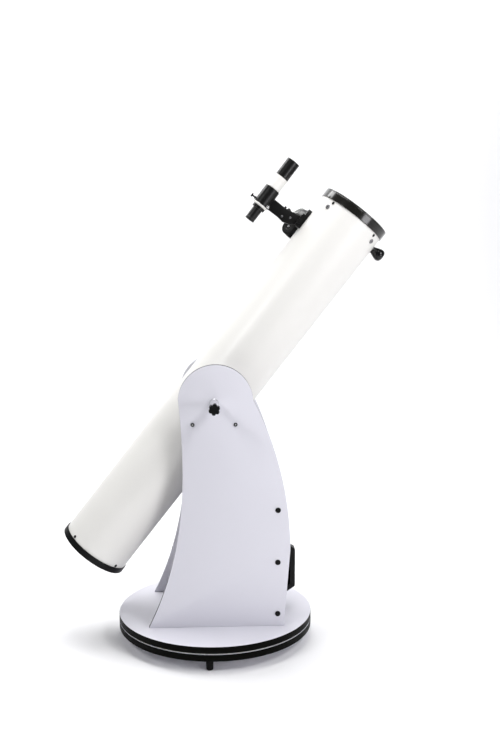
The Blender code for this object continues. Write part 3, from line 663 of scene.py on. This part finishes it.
def make_secondary():
    hub = [(0, 0.538), (0.0100, 0.538), (0.0100, 0.562), (0, 0.562)]
    piece("spider_hub", lathe(hub, 64, round_by=0.0012), ALONG, BLACK_PAINT, "tube",
          "spider")
    for number in range(4):
        vane = brick((0.541, -0.0005, 0.0090), (0.559, 0.0005, 0.0893), 0.0002, 1)
        turn = TUBE @ Matrix.Rotation(math.radians(45 + 90 * number), 4, 'X')
        piece(f"vane_{number + 1}", vane, turn, BLACK_PAINT, "tube")
    for number, (y, z) in enumerate(((0, 0), (0.0060, 0), (-0.0030, 0.0052),
                                     (-0.0030, -0.0052))):
        screw_head(f"hub_screw_{number}", TUBE @ moved(0.562, y, z) @ TO_X,
                   0.0026 if number == 0 else 0.0019, 0.0016, [STEEL], "tube", 0.0009)
    face = Vector((FOCUS_S, 0, 0))
    out = Vector((-1, math.sqrt(0.5), math.sqrt(0.5))).normalized()
    mirror = sliced(0.0180, FOCUS_S - 0.03, FOCUS_S + 0.04,
                    ((face, out), (face - 0.0055 * out, -out)))
    piece("secondary_flat", mirror, TUBE, [MIRROR_COAT, MIRROR_GLASS], "tube",
          "secondary_mirror", lambda _, normal: 0 if normal.dot(out) > 0.9 else 1)
    holder = sliced(0.0165, FOCUS_S - 0.03, 0.5377, ((face - 0.0058 * out, out),))
    piece("secondary_stalk", holder, TUBE, BLACK_PAINT, "tube",
          "secondary_holder")


# ---- focuser -----------------------------------------------------------------------------------
def make_focuser():
    def bore(radius=0.0246):
        return lathe([(0, 0.05), (radius, 0.05), (radius, 0.15), (0, 0.15)], 96,
                     round_by=0), FOCUSER

    slot = brick((-0.0292, -0.0052, 0.05), (-0.0180, 0.0052, 0.15), 0)
    plate = piece("focuser_plate", brick((-0.042, -0.0285, 0.075), (0.042, 0.0285, 0.0965),
                                         0.0022, 4), FOCUSER, BLACK_PAINT, "tube",
                  "focuser_base")
    cut(plate, saddle(), bore(), (slot.copy(), FOCUSER))
    housing = [(0.0246, 0.0955), (0.0315, 0.0955), (0.0315, 0.1290), (0.0305, 0.1300),
               (0.0305, 0.1325), (0.0300, 0.1330), (0.0246, 0.1330)]
    barrel = piece("focuser_barrel", lathe(housing, 128, True, 0.0005), FOCUSER, BLACK_PAINT,
                   "tube")
    cut(barrel, (slot.copy(), FOCUSER))
    pinion = FOCUSER @ moved(-0.0350, 0, 0.1120) @ TO_FAR
    box = piece("pinion_box", brick((-0.0560, -0.0270, 0.0950), (-0.0120, 0.0270, 0.1215),
                                    0.0022, 4), FOCUSER, BLACK_PAINT, "tube")
    gear_room = lathe([(0, -0.0075), (0.0070, -0.0075), (0.0070, 0.0075), (0, 0.0075)], 48,
                      round_by=0)
    shaft_room = lathe([(0, -0.05), (0.0036, -0.05), (0.0036, 0.05), (0, 0.05)], 40,
                       round_by=0)
    cut(box, bore(), (slot, FOCUSER), (gear_room, pinion), (shaft_room, pinion))
    for number, (x, y) in enumerate(((0.0365, 0.0225), (0.0365, -0.0225)), 1):
        screw_head(f"plate_screw_{number}", FOCUSER @ moved(x, y, 0.0965), 0.0034, 0.0018,
                   [STEEL], "tube", 0.0013)
    for number, y in enumerate((-0.0185, 0.0185), 1):
        screw_head(f"box_screw_{number}", FOCUSER @ moved(-0.0405, y, 0.1215), 0.0030, 0.0016,
                   [STEEL], "tube", 0.0012)

    top = 0.1415
    draw = [(0.0222, 0.0745), (0.0240, 0.0745), (0.0240, top), (0.0222, top)]
    piece("draw_barrel", lathe(draw, 128, True, 0.0003), FOCUSER, [CHROME, INNER_BLACK],
          "focus_slide", "drawtube",
          lambda middle, _: 0 if math.hypot(middle.x, middle.y) > 0.0232 else 1)
    pitch = 0.0031
    teeth = [(-0.0236, -0.0040, 0.0770), (-0.0263, -0.0040, 0.0770)]
    for tooth in range(19):
        start = 0.0772 + pitch * tooth
        teeth += [(-0.0263, -0.0040, start), (-0.0283, -0.0040, start + 0.3 * pitch),
                  (-0.0283, -0.0040, start + 0.6 * pitch), (-0.0263, -0.0040,
                                                            start + 0.9 * pitch)]
    teeth.append((-0.0236, -0.0040, 0.0772 + pitch * 18.95))
    piece("rack", slab(teeth, (0, 0.0080, 0), 0), FOCUSER, STEEL, "focus_slide")
    low, high = top + 0.0003, 0.1560
    collar = [(0.0160, low), (0.0297, low), (0.0305, low + 0.0008), (0.0305, high - 0.0010),
              (0.0295, high), (0.0168, high), (0.0160, high - 0.0008)]
    ring = piece("collar_ring", lathe(collar, 128, True, 0.0004), FOCUSER, PALE_METAL,
                 "focus_slide", "eyepiece_collar")
    screw_place = FOCUSER @ moved(0, 0, (low + high) / 2) @ TO_NEAR
    hole = lathe([(0, 0.010), (0.0028, 0.010), (0.0028, 0.04), (0, 0.04)], 32, round_by=0)
    cut(ring, (hole, screw_place))
    profile = [(0, 0.0165), (0.0022, 0.0165), (0.0022, 0.0380), (0.0046, 0.0384),
               (0.0046, 0.0446), (0.0038, 0.0452), (0, 0.0452)]
    piece("lock_stem", lathe(profile, 48, round_by=0.0004), screw_place, BLACK_PAINT,
          "eyepiece_screw", "collar_screw")
    piece("lock_knurl", knurled(0.0052, 0.0005, 0.0389, 0.0441, 24, 0.0003), screw_place,
          BLACK_PAINT, "eyepiece_screw")

    for side_name, side in (("near", -1), ("far", 1)):
        place = pinion if side > 0 else pinion @ Matrix.Rotation(math.pi, 4, 'X')
        knob = [(0, 0.0300), (0.0180, 0.0300), (0.0196, 0.0312), (0.0196, 0.0448),
                (0.0185, 0.0460), (0.0090, 0.0460), (0.0080, 0.0452), (0, 0.0452)]
        piece(f"focus_wheel_{side_name}", lathe(knob, 96, round_by=0.0006), place,
              BLACK_PLASTIC, "focus_pinion", f"focus_knob_{side_name}")
        piece(f"focus_tread_{side_name}", knurled(0.0210, 0.0008, 0.0315, 0.0445, 60), place,
              BLACK_PLASTIC, "focus_pinion")
    keep("pinion_shaft", STEEL)


# ---- finder ------------------------------------------------------------------------------------
ALIGN_S = 0.466                                         # alignment screws, along the tube


def make_finder():
    along = FINDER @ TO_X
    tube = [(0.0120, 0.4550), (0.0172, 0.4550), (0.0172, 0.4570), (0.0214, 0.4572),
            (0.0214, 0.4602), (0.0172, 0.4604), (0.0135, 0.4605), (0.0135, 0.5110),
            (0.0181, 0.5110), (0.0181, 0.5460), (0.0120, 0.5460)]
    piece("finder_body", lathe(tube, 96, True, 0.0003), along, TUBE_WHITE, "finder",
          "finder_tube")
    shade = [(0.0138, 0.5463), (0.0178, 0.5463), (0.0178, 0.5955), (0.0168, 0.5955),
             (0.0138, 0.5620)]
    piece("finder_shade", lathe(shade, 96, True, 0.0003), along, [BLACK_PAINT, INNER_BLACK],
          "finder", "dew_shade",
          lambda middle, _: 0 if math.hypot(middle.x, middle.y) > 0.0171 else 1)
    lens = [(0, 0.5480), (0.0070, 0.5485), (0.0133, 0.5500), (0.0133, 0.5540),
            (0.0070, 0.5555), (0, 0.5560)]
    piece("objective", lathe(lens, 64, round_by=0.0004), along, LENS_GLASS, "finder",
          "finder_lens")
    eyepiece = [(0.0075, 0.4120), (0.0117, 0.4120), (0.0127, 0.4132), (0.0127, 0.4190),
                (0.0121, 0.4196), (0.0121, 0.4204), (0.0127, 0.4210), (0.0127, 0.4470),
                (0.0170, 0.4474), (0.0170, 0.4547), (0.0075, 0.4547)]
    piece("eyepiece", lathe(eyepiece, 80, True, 0.0004), along, BLACK_PAINT, "finder",
          "finder_eyepiece")
    eye_lens = [(0, 0.4210), (0.0074, 0.4215), (0.0074, 0.4240), (0, 0.4245)]
    piece("eye_lens", lathe(eye_lens, 48, round_by=0.0003), along, LENS_GLASS, "finder")

    barrel = [(0.0155, 0.4610), (0.0204, 0.4610), (0.0204, 0.5100), (0.0155, 0.5100)]
    holder = piece("bracket_barrel", lathe(barrel, 96, True, 0.0006), along, BLACK_PAINT,
                   "bracket", "finder_bracket")
    seal = [(0.0137, 0.5062), (0.0153, 0.5062), (0.0153, 0.5094), (0.0137, 0.5094)]
    piece("finder_seal", lathe(seal, 80, True, 0.0006), along, RUBBER, "bracket")
    arm = [(0.4612, -0.0165), (0.4618, -0.0525), (0.4598, -0.0695), (0.4655, -0.0880),
           (0.4735, -0.0975), (0.5000, -0.0975), (0.4985, -0.0895), (0.4915, -0.0550),
           (0.4920, -0.0165)]
    web = piece("bracket_arm", slab([(s, -0.0072, h) for s, h in arm], (0, 0.0144, 0), 0.0014,
                                    3), FINDER, BLACK_PAINT, "bracket")
    cut(web, (lathe([(0, 0.44), (0.0156, 0.44), (0.0156, 0.53), (0, 0.53)], 96, round_by=0),
              along))
    foot = [(-0.0095, -0.1040), (0.0095, -0.1040), (0.0074, -0.0960), (-0.0074, -0.0960)]
    piece("bracket_foot", slab([(0.4735, y, z) for y, z in foot], (0.030, 0, 0), 0.0004),
          FINDER, BLACK_PAINT, "bracket")

    axis = FINDER @ moved(ALIGN_S, 0, 0)
    turns = (("top", "align_top", Matrix.Identity(4)), ("side", "align_side", TO_FAR),
             ("spring", "plunger", Matrix.Rotation(math.radians(135), 4, 'X')))
    for spot, body, turn in turns:
        hole = lathe([(0, 0.010), (0.0026, 0.010), (0.0026, 0.03), (0, 0.03)], 32, round_by=0)
        cut(holder, (hole, axis @ turn))
        if spot == "spring":
            housing = [(0, 0.0148), (0.0018, 0.0148), (0.0018, 0.0214), (0.0040, 0.0214),
                       (0.0040, 0.0272), (0.0020, 0.0286), (0, 0.0286)]
            piece("spring_housing", lathe(housing, 48, round_by=0.0004), axis @ turn, CHROME,
                  body, "spring_plunger")
            continue
        thumb = [(0, 0.0145), (0.0020, 0.0145), (0.0020, 0.0212), (0.0042, 0.0212),
                 (0.0042, 0.0236), (0.0022, 0.0236), (0.0022, 0.0305), (0.0046, 0.0305),
                 (0.0046, 0.0345), (0, 0.0345)]
        piece(f"thumb_{spot}", lathe(thumb, 48, round_by=0.0003), axis @ turn, BLACK_PAINT,
              body, f"align_screw_{spot}")
        piece(f"thumb_knurl_{spot}", knurled(0.0050, 0.0005, 0.0308, 0.0342, 24, 0.0003),
              axis @ turn, BLACK_PAINT, body)

    screw_head("arm_lock", FINDER @ moved(0.4922, 0, -0.0540) @ TO_X, 0.0030, 0.0042,
               [BLACK_PAINT], "bracket")
    for number, (s, h) in enumerate(((0.4700, -0.0600), (0.4800, -0.0790)), 1):
        screw_head(f"arm_bolt_{number}", FINDER @ moved(s, -0.0070, h) @ TO_NEAR, 0.0030,
                   0.0014, [DARK_STEEL], "bracket", 0.0013)

    shoe = [(-0.0190, 0.0800), (0.0190, 0.0800), (0.0190, 0.1040), (0.0180, 0.1050),
            (0.0080, 0.1050), (0.0099, 0.0985), (-0.0099, 0.0985), (-0.0080, 0.1050),
            (-0.0180, 0.1050), (-0.0190, 0.1040)]
    saddled = piece("shoe", slab([(0.472, y, z) for y, z in shoe], (0.0535, 0, 0), 0.0006),
                    TUBE, BLACK_PAINT, "tube", "finder_shoe")
    hole = lathe([(0, 0.005), (0.0025, 0.005), (0.0025, 0.03), (0, 0.03)], 32, round_by=0)
    clamp = TUBE @ moved(0.486, 0, 0.1018) @ TO_NEAR
    cut(saddled, saddle(), (brick((0.5085, -0.03, 0.0990), (0.54, 0.03, 0.12), 0), TUBE),
        (hole, clamp))
    profile = [(0, 0.0105), (0.0020, 0.0105), (0.0020, 0.0194), (0.0050, 0.0194),
               (0.0050, 0.0230), (0.0060, 0.0236), (0.0060, 0.0270), (0, 0.0270)]
    piece("clamp_grip", lathe(profile, 48, round_by=0.0004), clamp, [BLACK_PAINT, STEEL],
          "shoe_clamp", "clamp_screw",
          lambda middle, _: 1 if 0.0229 < middle.z < 0.0240 else 0)


# ---- studio ------------------------------------------------------------------------------------
def light(name, place, target, size, power, colour=(1, 1, 1)):
    """A round soft light that stands at a place and points at a target."""
    data = bpy.data.lights.new(name, 'AREA')
    data.shape = 'DISK'
    data.size = size
    data.energy = power
    data.color = colour
    made = bpy.data.objects.new(name, data)
    made.location = place
    made.rotation_euler = (Vector(target) - Vector(place)).to_track_quat('-Z', 'Y').to_euler()
    bpy.context.collection.objects.link(made)
    return made


def make_studio():
    """A curved pale backdrop, soft lights, and the camera on the object's near side."""
    sweep = bmesh.new()
    section = fillet([(0, -6.0, -0.0002), (0, 3.2, -0.0002), (0, 3.2, 6.0)], 1.6, 24)
    rows = [[sweep.verts.new((x, point.y, point.z)) for x in (-6.0, 6.0)] for point in section]
    for row, after in zip(rows, rows[1:]):
        sweep.faces.new((row[0], row[1], after[1], after[0]))
    mesh = bpy.data.meshes.new("backdrop")
    sweep.to_mesh(mesh)
    sweep.free()
    mesh.shade_smooth()
    mesh.materials.append(finish("paper", (0.90, 0.90, 0.91), 0.9, mottle=(2, 0.003),
                                 grain=(400, 0.00002)))
    backdrop = bpy.data.objects.new("backdrop", mesh)
    bpy.context.collection.objects.link(backdrop)

    light("key_left", (-1.45, -1.35, 1.95), (0, 0, 0.95), 0.60, 14)
    light("key_right", (1.25, -1.35, 2.10), (0.1, 0, 1.00), 0.70, 22)
    light("low_right", (1.45, -1.65, 0.80), (0.4, 0, 1.30), 0.90, 12, (0.97, 0.96, 1.0))
    light("rim_left", (-0.95, 0.75, 2.40), (0.2, 0, 0.95), 0.80, 11)
    light("top", (0.1, -0.1, 2.7), (0, 0, 0.6), 1.4, 17)
    light("backdrop_wash", (0, 1.0, 4.2), (0, 3.2, 1.2), 3.0, 150)
    world = bpy.data.worlds.new("studio")
    world.use_nodes = True
    background = world.node_tree.nodes["Background"]
    background.inputs["Color"].default_value = (0.95, 0.96, 1.0, 1)
    background.inputs["Strength"].default_value = 0.14
    bpy.context.scene.world = world

    camera = bpy.data.cameras.new("camera")
    camera.lens = 43.67
    camera.sensor_width = 36
    shooting = bpy.data.objects.new("camera", camera)
    shooting.location = (-0.0399, -2.3404, 1.0018)
    shooting.rotation_euler = (math.radians(82.5), 0, math.radians(-2.71))
    bpy.context.collection.objects.link(shooting)
    bpy.context.scene.camera = shooting
    bpy.context.scene.view_settings.view_transform = 'Standard'


make_turntable()
make_boards()
make_handle()
make_tube()
make_altitude()
make_mirrors()
make_collimation()
make_secondary()
make_focuser()
make_finder()
make_studio()
